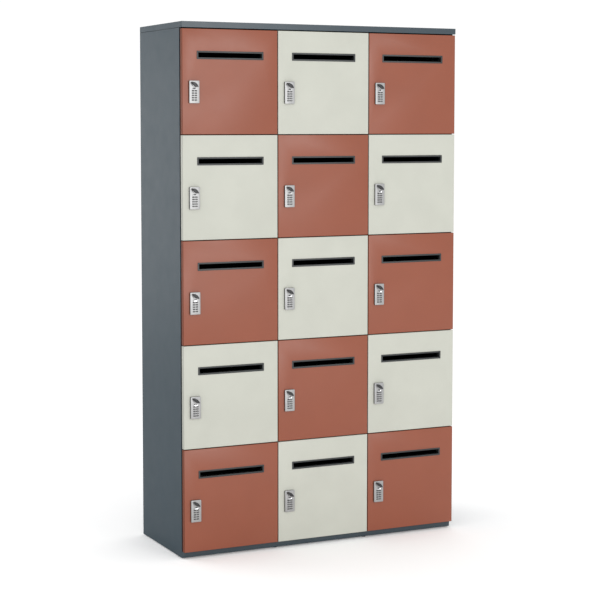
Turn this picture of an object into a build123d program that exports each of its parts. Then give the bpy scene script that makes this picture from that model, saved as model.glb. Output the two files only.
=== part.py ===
from build123d import *
import math
import os

# Mail locker cabinet: a board carcass with hinged doors, a letter slot and a keypad lock in each door.
# All sizes are millimetres. X runs along the front to the right, Y runs from front to back, Z is up.
# The origin is on the floor, at the middle of the cabinet's footprint with its knobs.

# The whole cabinet
cabinet_width = 1150.0
cabinet_height = 1980.0
carcass_depth = 410.0
columns = 3
rows = 5

# Boards
board = 19.0
top_board = 22.0
back_board = 8.0
door_board = 19.0

# Gaps round the doors
reveal = 3.0
side_inset = 2.0
top_gap = 4.0
door_base = 27.0
door_gap = 3.0

# Glides under the carcass
glide_height = 3.0
glide_radius = 8.0
glide_inset = 40.0

# Letter slot in each door
slot_width = 254.0
slot_height = 18.0
slot_drop = 95.0
slot_wall = 2.0
slot_flange = 4.0
slot_flange_thickness = 1.2
slot_fit = 0.3

# Lock on each door: its place, front housing and rear unit
lock_inset = 44.5
lock_drop = 229.0
housing_width = 40.0
housing_height = 82.0
housing_depth = 8.0
housing_corner = 3.0
spigot_radius = 9.0
spigot_fit = 0.2
rear_unit_width = 34.0
rear_unit_height = 70.0
rear_unit_depth = 12.0

# Knob, its spindle and the cam behind the door
spindle_rise = 27.0
spindle_radius = 4.0
spindle_fit = 0.05
collar_radius = 8.5
collar_height = 1.6
grip_length = 29.0
grip_width = 10.0
grip_height = 9.0
grip_tilt = -36.0
grip_edge = 1.5
knob_lift = 0.4
cam_length = 25.0
cam_width = 16.0
cam_thickness = 3.0
cam_gap = 1.0
nut_radius = 6.5
nut_thickness = 3.0

# Keypad: keys on one springy mat in a pocket of the housing, standing out through windows in its face
key_columns = 2
key_rows = 5
key_pitch_x = 11.4
key_pitch_z = 8.35
key_width = 9.2
key_height = 4.4
key_corner = 1.0
key_proud = 0.9
key_drop = 12.8
key_face = 0.7
window_fit = 0.3
mat_thickness = 1.4
mat_margin = 1.6
mat_gap = 0.3
mat_fit = 0.3
key_travel = 0.8
travel_room = 0.4

# Indicator between the keys and the knob: an oval rim on the housing's face with a lens in it
indicator_rise = 11.2
indicator_width = 16.0
indicator_height = 8.0
indicator_rim = 2.2
indicator_proud = 1.0
lens_sunk = 0.4
lens_seat = 1.5
lens_fit = 0.1

# Strike plate that the cam turns behind
strike_clearance = 4.0
strike_gap = 1.2
strike_leg = 2.0
strike_base = 1.5
strike_height = 24.0
strike_depth = 28.0

# Concealed hinges
hinges_per_door = 2
hinge_inset = 60.0
cup_radius = 17.5
cup_depth = 12.0
cup_wall = 1.0
cup_offset = 22.5
cup_fit = 0.1
cup_flange = 0.8
cup_flange_height = 58.0
cup_flange_width = 20.0
plate_setback = 20.0
plate_length = 44.0
plate_height = 32.0
plate_thickness = 3.0
arm_width = 14.0
arm_depth = 12.0
arm_length = 62.0
arm_clearance = 1.5

# Rubber bumpers that the doors close on
bumper_radius = 4.0
bumper_thickness = 2.6
bumper_inset = 25.0

# Dowels between the boards
dowel_radius = 4.0
dowel_in_face = 8.0
dowel_in_edge = 22.0
dowel_fit = 0.1
dowel_setback = 60.0

# Worked out from the sizes above
half_width = cabinet_width / 2
door_width = (cabinet_width - 2 * side_inset - (columns - 1) * reveal) / columns
door_top = cabinet_height - top_board - top_gap
door_height = (door_top - door_base - (rows - 1) * reveal) / rows
knob_reach = housing_depth + knob_lift + collar_height + grip_height
overall_depth = knob_reach + door_board + door_gap + carcass_depth
door_front = -overall_depth / 2 + knob_reach
door_back = door_front + door_board
carcass_front = door_back + door_gap
carcass_back = carcass_front + carcass_depth
back_face = carcass_back - back_board
top_underside = cabinet_height - top_board
base_top = door_base + (board - reveal) / 2
base_bottom = base_top - board
cam_front = door_back + rear_unit_depth + cam_gap
housing_face = door_front - housing_depth
mat_front = housing_face + key_face + mat_gap


def block(x_low, x_high, y_low, y_high, z_low, z_high):
    """A box between two corners."""
    middle = Pos((x_low + x_high) / 2, (y_low + y_high) / 2, (z_low + z_high) / 2)
    return middle * Box(x_high - x_low, y_high - y_low, z_high - z_low)


def rod_x(radius, x_low, x_high, y, z):
    """A round bar along X."""
    return Pos((x_low + x_high) / 2, y, z) * Rot(0, 90, 0) * Cylinder(radius, x_high - x_low)


def rod_y(radius, x, y_low, y_high, z):
    """A round bar along Y."""
    return Pos(x, (y_low + y_high) / 2, z) * Rot(90, 0, 0) * Cylinder(radius, y_high - y_low)


def rod_z(radius, x, y, z_low, z_high):
    """A round bar along Z."""
    return Pos(x, y, (z_low + z_high) / 2) * Cylinder(radius, z_high - z_low)


def rounded_block(x, z, width, height, y_low, y_high, corner):
    """A box facing the front, with its four corners rounded as seen from there."""
    solid = block(x - width / 2, x + width / 2, y_low, y_high, z - height / 2, z + height / 2)
    return fillet(solid.edges().filter_by(Axis.Y), min(corner, width / 2.1, height / 2.1))


def oval_block(x, z, width, height, y_low, y_high):
    """A bar facing the front, with fully round ends, as wide as stated."""
    outline = extrude(SlotOverall(width, height), y_high - y_low)
    return Pos(x, y_high, z) * Rot(90, 0, 0) * outline


def door_left(column):
    """Left edge of a door; columns count from the left, starting at 0."""
    return -half_width + side_inset + column * (door_width + reveal)


def door_bottom(row):
    """Bottom edge of a door; rows count from the top, starting at 0."""
    return door_base + (rows - 1 - row) * (door_height + reveal)


def partition_middle(gap):
    """Middle of the partition behind the joint between two columns of doors."""
    return door_left(gap + 1) - reveal / 2


def shelf_middle(row):
    """Middle height of the shelf under a row of doors."""
    return door_bottom(row) - reveal / 2


def inner_left(column):
    """Left inner face of a column's compartments."""
    if column == 0:
        return -half_width + board
    return partition_middle(column - 1) + board / 2


def inner_right(column):
    """Right inner face of a column's compartments."""
    if column == columns - 1:
        return half_width - board
    return partition_middle(column) - board / 2


def hinge_heights(row):
    """Heights of a door's hinges, evenly spread between the insets."""
    low = door_bottom(row) + hinge_inset
    spread = door_height - 2 * hinge_inset
    return [low + spread * number / (hinges_per_door - 1) for number in range(hinges_per_door)]


def dowel_depths():
    """The two places along Y where dowels join the boards."""
    return [carcass_front + dowel_setback, back_face - dowel_setback]


def dowel_set(extra_radius=0.0, extra_length=0.0):
    """Every dowel, or with the extras every hole for one."""
    radius = dowel_radius + extra_radius
    face = dowel_in_face + extra_length
    edge = dowel_in_edge + extra_length
    dowels = []
    for y in dowel_depths():
        for column in range(columns):
            left = inner_left(column)
            right = inner_right(column)
            levels = [shelf_middle(row) for row in range(rows - 1)]
            for z in levels:
                dowels.append(rod_x(radius, left - face, left + edge, y, z))
                dowels.append(rod_x(radius, right - edge, right + face, y, z))
        z = (base_top + base_bottom) / 2
        dowels.append(rod_x(radius, inner_left(0) - face, inner_left(0) + edge, y, z))
        dowels.append(rod_x(radius, inner_right(columns - 1) - edge, inner_right(columns - 1) + face, y, z))
        for x in [-half_width + board / 2, half_width - board / 2]:
            dowels.append(rod_z(radius, x, y, top_underside - edge, top_underside + face))
        for gap in range(columns - 1):
            x = partition_middle(gap)
            dowels.append(rod_z(radius, x, y, top_underside - edge, top_underside + face))
            dowels.append(rod_z(radius, x, y, base_top - face, base_top + edge))
    return dowels


def drilled(solid, holes):
    """The board with the dowel holes that reach into it."""
    box = solid.bounding_box()
    for hole in holes:
        other = hole.bounding_box()
        apart_x = other.max.X < box.min.X or other.min.X > box.max.X
        apart_y = other.max.Y < box.min.Y or other.min.Y > box.max.Y
        apart_z = other.max.Z < box.min.Z or other.min.Z > box.max.Z
        if not (apart_x or apart_y or apart_z):
            solid = solid - hole
    return solid


def side_panel(left):
    """An outer side board, from the glides to the underside of the top."""
    x_low = -half_width if left else half_width - board
    return block(x_low, x_low + board, carcass_front, carcass_back, glide_height, top_underside)


def partition(gap):
    """An upright board between two columns, standing on the base board."""
    x = partition_middle(gap)
    return block(x - board / 2, x + board / 2, carcass_front, back_face, base_top, top_underside)


def top_panel():
    """The top board, which reaches over the doors' upper edges."""
    return block(-half_width, half_width, door_front, carcass_back, top_underside, cabinet_height)


def base_panel():
    """The bottom board, between the sides and behind the front plinth rail."""
    return block(
        inner_left(0), inner_right(columns - 1), carcass_front + board, back_face, base_bottom, base_top
    )


def plinth_rails():
    """The front rail, whose face shows under the doors, and the rear rail under the base board."""
    left = inner_left(0)
    right = inner_right(columns - 1)
    front = block(left, right, carcass_front, carcass_front + board, glide_height, base_top)
    rear = block(left, right, back_face - board, back_face, glide_height, base_bottom)
    return [front, rear]


def back_panel():
    """The thin back, set in between the sides."""
    return block(
        inner_left(0), inner_right(columns - 1), back_face, carcass_back, glide_height, top_underside
    )


def shelf(row, column):
    """One fixed shelf under a compartment."""
    z = shelf_middle(row)
    return block(
        inner_left(column), inner_right(column), carcass_front, back_face, z - board / 2, z + board / 2
    )


def glides():
    """Plastic glides under the side boards and the plinth rails."""
    side_x = half_width - board / 2
    rail_x = half_width / 3
    places = []
    for x in [-side_x, side_x]:
        places.append((x, carcass_front + glide_inset))
        places.append((x, carcass_back - glide_inset))
    for x in [-rail_x, rail_x]:
        places.append((x, carcass_front + board / 2))
        places.append((x, back_face - board / 2))
    return [rod_z(glide_radius, x, y, 0, glide_height) for x, y in places]


def hinge_plates():
    """The hinges' mounting plates, screwed to the compartments' right faces."""
    plates = []
    y_low = carcass_front + plate_setback
    for row in range(rows):
        for column in range(columns):
            face = inner_right(column)
            for z in hinge_heights(row):
                plates.append(
                    block(
                        face - plate_thickness, face, y_low, y_low + plate_length,
                        z - plate_height / 2, z + plate_height / 2,
                    )
                )
    return plates


def hinge_arms():
    """The hinges' fixed arms, which stop just behind the closed doors."""
    arms = []
    y_low = carcass_front - door_gap + arm_clearance
    for row in range(rows):
        for column in range(columns):
            face = inner_right(column) - plate_thickness
            for z in hinge_heights(row):
                arms.append(
                    block(
                        face - arm_depth, face, y_low, y_low + arm_length,
                        z - arm_width / 2, z + arm_width / 2,
                    )
                )
    return arms


def spindle_x(column):
    """Where a lock's spindle stands across the front."""
    return door_left(column) + lock_inset


def lock_z(row):
    """Middle height of a lock's housing."""
    return door_bottom(row) + door_height - lock_drop


def lock_strike(row, column):
    """The angled strike on a compartment's left face, as long as the cam needs."""
    face = inner_left(column)
    tip = spindle_x(column) - rear_unit_width / 2 - strike_clearance
    z = lock_z(row) + spindle_rise
    z_low = z - strike_height / 2
    z_high = z + strike_height / 2
    leg_back = cam_front - strike_gap
    leg_front = leg_back - strike_leg
    leg = block(face, tip, leg_front, leg_back, z_low, z_high)
    base = block(face, face + strike_base, leg_front, leg_front + strike_depth, z_low, z_high)
    return leg + base


def door_bumpers():
    """Rubber pads on the carcass's front edge, near each door's free corners."""
    pads = []
    for row in range(rows):
        for column in range(columns):
            x = inner_left(column) - bumper_radius - side_inset
            for z in [door_bottom(row) + bumper_inset, door_bottom(row) + door_height - bumper_inset]:
                pads.append(rod_y(bumper_radius, x, carcass_front - bumper_thickness, carcass_front, z))
    return pads


def slot_frame(row, column):
    """The letter slot's lining, with a flange on the door's face."""
    x = door_left(column) + door_width / 2
    z = door_bottom(row) + door_height - slot_drop
    sleeve_width = slot_width + 2 * slot_wall
    sleeve_height = slot_height + 2 * slot_wall
    flange_width = sleeve_width + 2 * slot_flange
    flange_height = sleeve_height + 2 * slot_flange
    sleeve = block(
        x - sleeve_width / 2, x + sleeve_width / 2, door_front, door_back,
        z - sleeve_height / 2, z + sleeve_height / 2,
    )
    flange = block(
        x - flange_width / 2, x + flange_width / 2, door_front - slot_flange_thickness, door_front,
        z - flange_height / 2, z + flange_height / 2,
    )
    opening = block(
        x - slot_width / 2, x + slot_width / 2, door_front - slot_flange_thickness, door_back,
        z - slot_height / 2, z + slot_height / 2,
    )
    return sleeve + flange - opening


def door_panel(row, column):
    """The door board, cut for the slot lining, the lock's spigot and the hinge cups."""
    left = door_left(column)
    bottom = door_bottom(row)
    panel = block(left, left + door_width, door_front, door_back, bottom, bottom + door_height)
    middle = left + door_width / 2
    z = bottom + door_height - slot_drop
    cut_width = slot_width + 2 * slot_wall + 2 * slot_fit
    cut_height = slot_height + 2 * slot_wall + 2 * slot_fit
    panel = panel - block(
        middle - cut_width / 2, middle + cut_width / 2, door_front, door_back,
        z - cut_height / 2, z + cut_height / 2,
    )
    spindle_height = lock_z(row) + spindle_rise
    panel = panel - rod_y(
        spigot_radius + spigot_fit, spindle_x(column), door_front, door_back, spindle_height
    )
    for z in hinge_heights(row):
        x = left + door_width - cup_offset
        panel = panel - rod_y(cup_radius + cup_fit, x, door_back - cup_depth - cup_fit, door_back, z)
    return panel


def mat_size():
    """Width and height of the mat that carries the keys."""
    width = (key_columns - 1) * key_pitch_x + key_width + 2 * mat_margin
    height = (key_rows - 1) * key_pitch_z + key_height + 2 * mat_margin
    return width, height


def key_places(row, column):
    """The middle of every key of a lock, across and up."""
    places = []
    for across in range(key_columns):
        x = spindle_x(column) + (across - (key_columns - 1) / 2) * key_pitch_x
        for up in range(key_rows):
            z = lock_z(row) - key_drop + (up - (key_rows - 1) / 2) * key_pitch_z
            places.append((x, z))
    return places


def lock_housing(row, column):
    """The lock's front housing and spigot, with its keys' windows, indicator rim and spindle bore."""
    x = spindle_x(column)
    z = lock_z(row)
    indicator_z = z + indicator_rise
    rim_front = housing_face - indicator_proud
    body = rounded_block(x, z, housing_width, housing_height, housing_face, door_front, housing_corner)
    body = body + rod_y(spigot_radius, x, door_front, door_back, z + spindle_rise)
    body = body + oval_block(x, indicator_z, indicator_width, indicator_height, rim_front, housing_face)
    body = body - rod_y(spindle_radius + spindle_fit, x, housing_face, door_back, z + spindle_rise)
    seat_width = indicator_width - 2 * indicator_rim
    seat_height = indicator_height - 2 * indicator_rim
    seat_back = housing_face + lens_seat
    body = body - oval_block(x, indicator_z, seat_width, seat_height, rim_front, seat_back)
    width, height = mat_size()
    pocket_back = mat_front + mat_thickness + key_travel + travel_room
    body = body - block(
        x - width / 2 - mat_fit, x + width / 2 + mat_fit, housing_face + key_face, pocket_back,
        z - key_drop - height / 2 - mat_fit, z - key_drop + height / 2 + mat_fit,
    )
    for key_x, key_z in key_places(row, column):
        body = body - rounded_block(
            key_x, key_z, key_width + 2 * window_fit, key_height + 2 * window_fit,
            housing_face, housing_face + key_face, key_corner + window_fit,
        )
    return body


def indicator_lens(row, column):
    """The small lens in the indicator's rim."""
    width = indicator_width - 2 * indicator_rim - 2 * lens_fit
    height = indicator_height - 2 * indicator_rim - 2 * lens_fit
    front = housing_face - indicator_proud + lens_sunk
    z = lock_z(row) + indicator_rise
    return oval_block(spindle_x(column), z, width, height, front, housing_face + lens_seat)


def rear_unit(row, column):
    """The lock's case behind the door, with the spindle's bore."""
    x = spindle_x(column)
    z = lock_z(row)
    back = door_back + rear_unit_depth
    body = rounded_block(x, z, rear_unit_width, rear_unit_height, door_back, back, housing_corner)
    return body - rod_y(spindle_radius + spindle_fit, x, door_back, back, z + spindle_rise)


def hinge_cup(row, column, z):
    """A hinge cup let into the door's back, open towards the carcass, with its thin flange."""
    x = door_left(column) + door_width - cup_offset
    flange_back = door_back + cup_flange
    cup = rod_y(cup_radius, x, door_back - cup_depth, door_back, z)
    flange = block(
        x - cup_flange_width / 2, x + cup_flange_width / 2, door_back, flange_back,
        z - cup_flange_height / 2, z + cup_flange_height / 2,
    )
    flange = flange + rod_y(cup_radius, x, door_back, flange_back, z)
    hollow = rod_y(cup_radius - cup_wall, x, door_back - cup_depth + cup_wall, flange_back, z)
    return cup + flange - hollow


def keypad(row, column):
    """The keys and their mat, one piece of springy rubber."""
    x = spindle_x(column)
    z = lock_z(row) - key_drop
    width, height = mat_size()
    pad = block(
        x - width / 2, x + width / 2, mat_front, mat_front + mat_thickness, z - height / 2, z + height / 2
    )
    for key_x, key_z in key_places(row, column):
        pad = pad + rounded_block(
            key_x, key_z, key_width, key_height, housing_face - key_proud, mat_front, key_corner
        )
    return pad


def knob(row, column):
    """The tilted grip, its collar and the spindle that runs through the door."""
    x = spindle_x(column)
    z = lock_z(row) + spindle_rise
    collar_back = housing_face - knob_lift
    collar_front = collar_back - collar_height
    spindle_end = cam_front + cam_thickness + nut_thickness
    outline = SlotOverall(grip_length, grip_width)
    grip = extrude(outline, grip_height)
    grip = fillet(grip.faces().sort_by(Axis.Z)[-1].edges(), min(grip_edge, grip_width / 4))
    grip = Pos(x, collar_front, z) * Rot(0, -grip_tilt, 0) * Rot(90, 0, 0) * grip
    body = grip + rod_y(collar_radius, x, collar_front, collar_back, z)
    return body + rod_y(spindle_radius, x, collar_back, spindle_end, z)


def cam(row, column):
    """The latch plate on the spindle's end, pointing up while the door is unlocked."""
    x = spindle_x(column)
    z = lock_z(row) + spindle_rise
    back = cam_front + cam_thickness
    half = cam_width / 2
    plate = block(x - half, x + half, cam_front, back, z, z + cam_length - half)
    plate = plate + rod_y(half, x, cam_front, back, z)
    plate = plate + rod_y(half, x, cam_front, back, z + cam_length - half)
    return plate - rod_y(spindle_radius + spindle_fit, x, cam_front, back, z)


def cam_nut(row, column):
    """The six-sided nut that holds the cam on."""
    x = spindle_x(column)
    z = lock_z(row) + spindle_rise
    outline = RegularPolygon(nut_radius, 6) - Circle(spindle_radius + spindle_fit)
    nut = extrude(outline, nut_thickness)
    return Pos(x, cam_front + cam_thickness + nut_thickness, z) * Rot(90, 0, 0) * nut


def door_solids(row, column):
    """What swings with one door, apart from its knob and keypad."""
    solids = [
        door_panel(row, column),
        slot_frame(row, column),
        lock_housing(row, column),
        indicator_lens(row, column),
        rear_unit(row, column),
    ]
    for z in hinge_heights(row):
        solids.append(hinge_cup(row, column, z))
    return solids


def save(name, solids):
    """Write one node's solids to its own file."""
    pieces = []
    for solid in solids:
        pieces.extend(solid.solids())
    shape = pieces[0] if len(pieces) == 1 else Compound(pieces)
    export_step(shape, os.path.join("parts", name + ".step"))


def least_gap_to_cam():
    """How far the turning cam stays from the nearest strike plate, in millimetres."""
    gaps = [spindle_x(column) - cam_length - inner_left(column) - strike_base for column in range(columns)]
    return min(gaps)


def main():
    os.makedirs("parts", exist_ok=True)
    holes = dowel_set(dowel_fit, dowel_fit)
    save("side_panel_left", [drilled(side_panel(True), holes)])
    save("side_panel_right", [drilled(side_panel(False), holes)])
    for gap in range(columns - 1):
        save(f"partition_{gap + 1}", [drilled(partition(gap), holes)])
    save("top_panel", [drilled(top_panel(), holes)])
    save("base_panel", [drilled(base_panel(), holes)])
    save("plinth_rails", plinth_rails())
    save("back_panel", [back_panel()])
    places = [(row, column) for row in range(rows) for column in range(columns)]
    shelves = [drilled(shelf(row, column), holes) for row, column in places if row < rows - 1]
    save("shelves", shelves)
    save("glides", glides())
    save("dowels", dowel_set())
    save("hinge_plates", hinge_plates())
    save("hinge_arms", hinge_arms())
    save("lock_strikes", [lock_strike(row, column) for row, column in places])
    save("door_bumpers", door_bumpers())
    for row, column in places:
        place = f"r{row + 1}c{column + 1}"
        save(f"door_{place}", door_solids(row, column))
        save(f"knob_{place}", [knob(row, column), cam(row, column), cam_nut(row, column)])
        save(f"keypad_{place}", [keypad(row, column)])
    print("door", round(door_width, 3), "wide,", round(door_height, 3), "high")
    print("cam to strike plate", round(least_gap_to_cam(), 3))
    print("front to back", round(overall_depth, 3), "door face at", round(door_front, 3))


main()
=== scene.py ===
# %% [markdown]
# # A mail locker cabinet, dressed
# This lesson dresses a finished construction model of a mail locker cabinet. The construction model
# gives every board, door, lock and hinge its true size and place. Here each visible piece gets its
# softened edges, its small fittings and its surface finish, then a camera, a floor and some light.
# Every object is in metres, X runs to the right along the front, Y from front to back and Z up.

# %% Load the construction model
import math

import bmesh
import bpy
from mathutils import Matrix, Vector


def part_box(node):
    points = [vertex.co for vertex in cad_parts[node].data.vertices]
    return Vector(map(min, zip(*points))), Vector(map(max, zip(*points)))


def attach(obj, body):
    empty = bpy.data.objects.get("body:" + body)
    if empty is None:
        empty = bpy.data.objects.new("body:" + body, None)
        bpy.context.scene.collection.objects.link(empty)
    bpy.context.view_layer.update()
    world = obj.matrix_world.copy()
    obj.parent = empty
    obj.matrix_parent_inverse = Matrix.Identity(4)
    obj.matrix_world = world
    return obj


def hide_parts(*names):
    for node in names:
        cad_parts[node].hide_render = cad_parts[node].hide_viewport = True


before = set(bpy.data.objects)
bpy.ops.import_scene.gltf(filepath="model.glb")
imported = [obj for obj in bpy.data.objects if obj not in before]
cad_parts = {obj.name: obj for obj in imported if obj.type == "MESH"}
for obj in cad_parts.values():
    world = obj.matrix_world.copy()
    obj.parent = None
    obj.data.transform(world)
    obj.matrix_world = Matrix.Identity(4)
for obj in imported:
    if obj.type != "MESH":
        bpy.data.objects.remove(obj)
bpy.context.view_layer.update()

# %% [markdown]
# ## Measuring what is already there
# Nothing here is placed by eye. The doors, locks and boards are read from the construction model, so
# the dressed pieces land where the real ones are. The few sizes that its boxes don't give are named
# in millimetres, where each is first needed. Here they are the door board's thickness, and how far
# the lock, the letter slot and the hinges sit from the door's edges.

# %% The first door and what sits on it
MM = 0.001
ROWS = 5
COLUMNS = 3
DOOR_BOARD = 19 * MM
LOCK_INSET = 44.5 * MM
LOCK_DROP = 229 * MM
SPINDLE_RISE = 27 * MM
SLOT_DROP = 95 * MM
HINGE_INSET = 60 * MM
CUP_OFFSET = 22.5 * MM

first_low, first_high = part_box("door_r1c1")
door_left, door_right = first_low.x, first_high.x
door_bottom, door_top = first_low.z, first_high.z
door_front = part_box("top_panel")[0].y
door_back = door_front + DOOR_BOARD
spindle_x = door_left + LOCK_INSET
lock_z = door_top - LOCK_DROP
spindle_z = lock_z + SPINDLE_RISE
slot_x = (door_left + door_right) / 2
slot_z = door_top - SLOT_DROP
cup_x = door_right - CUP_OFFSET
hinge_levels = (door_bottom + HINGE_INSET, door_top - HINGE_INSET)
PLACES = [(row, column) for row in range(1, ROWS + 1) for column in range(1, COLUMNS + 1)]
print("first door from", round(door_left, 4), "to", round(door_right, 4), "m")
print("its front at", round(door_front, 4), "m, and", len(PLACES), "places for doors")


# %% [markdown]
# ## Selecting, and starting a shape
# Blender's operators act on whatever is selected, so each helper first clears the selection. Boxes and
# bars are made between real corners and ends, and their size and place are applied at once. So a
# finished object sits at the origin, unturned and unscaled, and its place is in its mesh.

# %% Helpers for selecting and for starting shapes
def clear_selection():
    if bpy.context.object and bpy.context.object.mode != "OBJECT":
        bpy.ops.object.mode_set(mode="OBJECT")
    bpy.ops.object.select_all(action="DESELECT")


def only(piece):
    clear_selection()
    piece.select_set(True)
    bpy.context.view_layer.objects.active = piece


def settle(piece):
    only(piece)
    bpy.ops.object.transform_apply(location=True, rotation=True, scale=True)


def box_piece(name, low, high):
    clear_selection()
    low, high = Vector(low), Vector(high)
    bpy.ops.mesh.primitive_cube_add(size=1, location=(low + high) / 2, scale=high - low)
    piece = bpy.context.object
    piece.name = piece.data.name = name
    settle(piece)
    return piece


def bar_piece(name, radius, start, end, sides=48):
    clear_selection()
    start, end = Vector(start), Vector(end)
    bpy.ops.mesh.primitive_cylinder_add(
        vertices=sides, radius=radius, depth=(end - start).length, location=(start + end) / 2
    )
    piece = bpy.context.object
    piece.name = piece.data.name = name
    piece.rotation_mode = "QUATERNION"
    piece.rotation_quaternion = (end - start).to_track_quat("Z", "Y")
    settle(piece)
    return piece


# %% [markdown]
# ## Finishing a shape
# A modifier is applied as soon as it is added, so the next step works on the real mesh. A bevel
# modifier rounds every sharp edge alike. Where only some edges are to be rounded, they are found by
# their place, selected in edit mode and bevelled there: all the edges along Y, say, or a front rim.

# %% Helpers for rounding and cutting
SAME_PLACE = 0.001 * MM
SAME_LEVEL = 0.01 * MM


def apply_all(piece):
    only(piece)
    for modifier in list(piece.modifiers):
        bpy.ops.object.modifier_apply(modifier=modifier.name)


def soften(piece, width, segments=2, angle=30):
    bevel = piece.modifiers.new("soft_edges", "BEVEL")
    bevel.width = width
    bevel.segments = segments
    bevel.limit_method = "ANGLE"
    bevel.angle_limit = math.radians(angle)
    bevel.harden_normals = False
    apply_all(piece)


def cut(piece, other, operation="DIFFERENCE"):
    """Takes the other shape away from the piece, or unites or intersects the two."""
    boolean = piece.modifiers.new("cut", "BOOLEAN")
    boolean.operation = operation
    boolean.solver = "EXACT"
    boolean.object = other
    apply_all(piece)
    bpy.data.objects.remove(other, do_unlink=True)


def bevel_where(piece, test, width, segments=3):
    """Bevels the edges whose two ends pass the test, in edit mode."""
    only(piece)
    bpy.ops.object.mode_set(mode="EDIT")
    bpy.ops.mesh.select_mode(type="EDGE")
    bpy.ops.mesh.select_all(action="DESELECT")
    mesh = bmesh.from_edit_mesh(piece.data)
    for edge in mesh.edges:
        if test(edge.verts[0].co, edge.verts[1].co):
            edge.select_set(True)
    bmesh.update_edit_mesh(piece.data)
    bpy.ops.mesh.bevel(offset=width, segments=segments, affect="EDGES")
    bpy.ops.object.mode_set(mode="OBJECT")


def along_x(a, b):
    return abs(a.y - b.y) < SAME_PLACE and abs(a.z - b.z) < SAME_PLACE


def along_y(a, b):
    return abs(a.x - b.x) < SAME_PLACE and abs(a.z - b.z) < SAME_PLACE


def front_rim(level):
    return lambda a, b: max(a.y, b.y) < level + SAME_LEVEL


def back_rim(level):
    return lambda a, b: min(a.y, b.y) > level - SAME_LEVEL


# %% Helpers for smoothing, joining and copying
def smooth(piece, angle=35):
    only(piece)
    bpy.ops.object.shade_smooth_by_angle(angle=math.radians(angle))


def joined(name, parts):
    clear_selection()
    for part in parts:
        part.select_set(True)
    bpy.context.view_layer.objects.active = parts[0]
    if len(parts) > 1:
        bpy.ops.object.join()
    piece = bpy.context.object
    piece.name = piece.data.name = name
    return piece


def moved_copy(piece, name, offset):
    mesh = piece.data.copy()
    mesh.transform(Matrix.Translation(offset))
    copy = bpy.data.objects.new(name, mesh)
    bpy.context.scene.collection.objects.link(copy)
    return copy


# %% [markdown]
# ## Finishes
# Each finish is one small node tree. Patterns read Object coordinates, which on these pieces are the
# true places in metres, so grain and texture have their real size. Numbers that are the same all over
# are set on the shader itself, and only what varies comes from noise. A noise scale counts its waves
# in a metre: 9 is a faint cloud across a door, and 1400 is finer than a millimetre.

# %% Helpers for node trees
RAMP_ENDS = (0.3, 0.7)


def new_material(name):
    material = bpy.data.materials.new(name)
    material.use_nodes = True
    tree = material.node_tree
    return material, tree, tree.nodes["Principled BSDF"]


def noise(tree, scale, stretch=(1, 1, 1), detail=3.0):
    place = tree.nodes.new("ShaderNodeTexCoord")
    turn = tree.nodes.new("ShaderNodeMapping")
    turn.inputs["Scale"].default_value = stretch
    texture = tree.nodes.new("ShaderNodeTexNoise")
    texture.inputs["Scale"].default_value = scale
    texture.inputs["Detail"].default_value = detail
    tree.links.new(place.outputs["Object"], turn.inputs["Vector"])
    tree.links.new(turn.outputs["Vector"], texture.inputs["Vector"])
    return texture.outputs["Fac"]


def ranged(tree, value, low, high):
    span = tree.nodes.new("ShaderNodeMapRange")
    span.inputs["To Min"].default_value = low
    span.inputs["To Max"].default_value = high
    tree.links.new(value, span.inputs["Value"])
    return span.outputs["Result"]


def shade(colour, factor):
    return tuple(min(1.0, channel * factor) for channel in colour)


def tinted(tree, value, colour, darkest, lightest):
    """Lets the value move the colour between a darker and a lighter shade of itself."""
    ramp = tree.nodes.new("ShaderNodeValToRGB")
    for stop, position, factor in zip(ramp.color_ramp.elements, RAMP_ENDS, (darkest, lightest)):
        stop.position = position
        stop.color = (*shade(colour, factor), 1)
    tree.links.new(value, ramp.inputs["Fac"])
    return ramp.outputs["Color"]


def bumped(tree, value, strength, distance):
    bump = tree.nodes.new("ShaderNodeBump")
    bump.inputs["Strength"].default_value = strength
    bump.inputs["Distance"].default_value = distance
    tree.links.new(value, bump.inputs["Height"])
    return bump.outputs["Normal"]


# %% [markdown]
# ### Laminate
# Every board is faced with melamine: one even colour, very faintly cloudy, pressed with a fine pebble
# that softens the light. The satin faces have some gloss. Edging tape and the narrow bevels are duller,
# and their colour is a darker copy of the face colour: painted shade, which draws the fine dark lines
# between the doors seen from the front.

# %% Laminate, for every board
CLOUD_SCALE = 9.0
SMUDGE_SCALE = 22.0
PEBBLE_SCALE = 1400.0
PEBBLE_DEPTH = 0.12 * MM


def laminate(name, colour, roughness, gloss=0.3):
    """Melamine-faced board: an even colour with a faint cloudiness and a fine pebbled press."""
    material, tree, shader = new_material(name)
    cloud = noise(tree, CLOUD_SCALE, detail=4.0)
    cloudy = tinted(tree, cloud, colour, darkest=0.975, lightest=1.025)
    tree.links.new(cloudy, shader.inputs["Base Color"])
    smudge = noise(tree, SMUDGE_SCALE, detail=5.0)
    dullness = ranged(tree, smudge, low=roughness - 0.04, high=roughness + 0.05)
    tree.links.new(dullness, shader.inputs["Roughness"])
    pebble = noise(tree, PEBBLE_SCALE, detail=2.0)
    pressed = bumped(tree, pebble, strength=0.10, distance=PEBBLE_DEPTH)
    tree.links.new(pressed, shader.inputs["Normal"])
    shader.inputs["Specular IOR Level"].default_value = gloss
    return material


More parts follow.
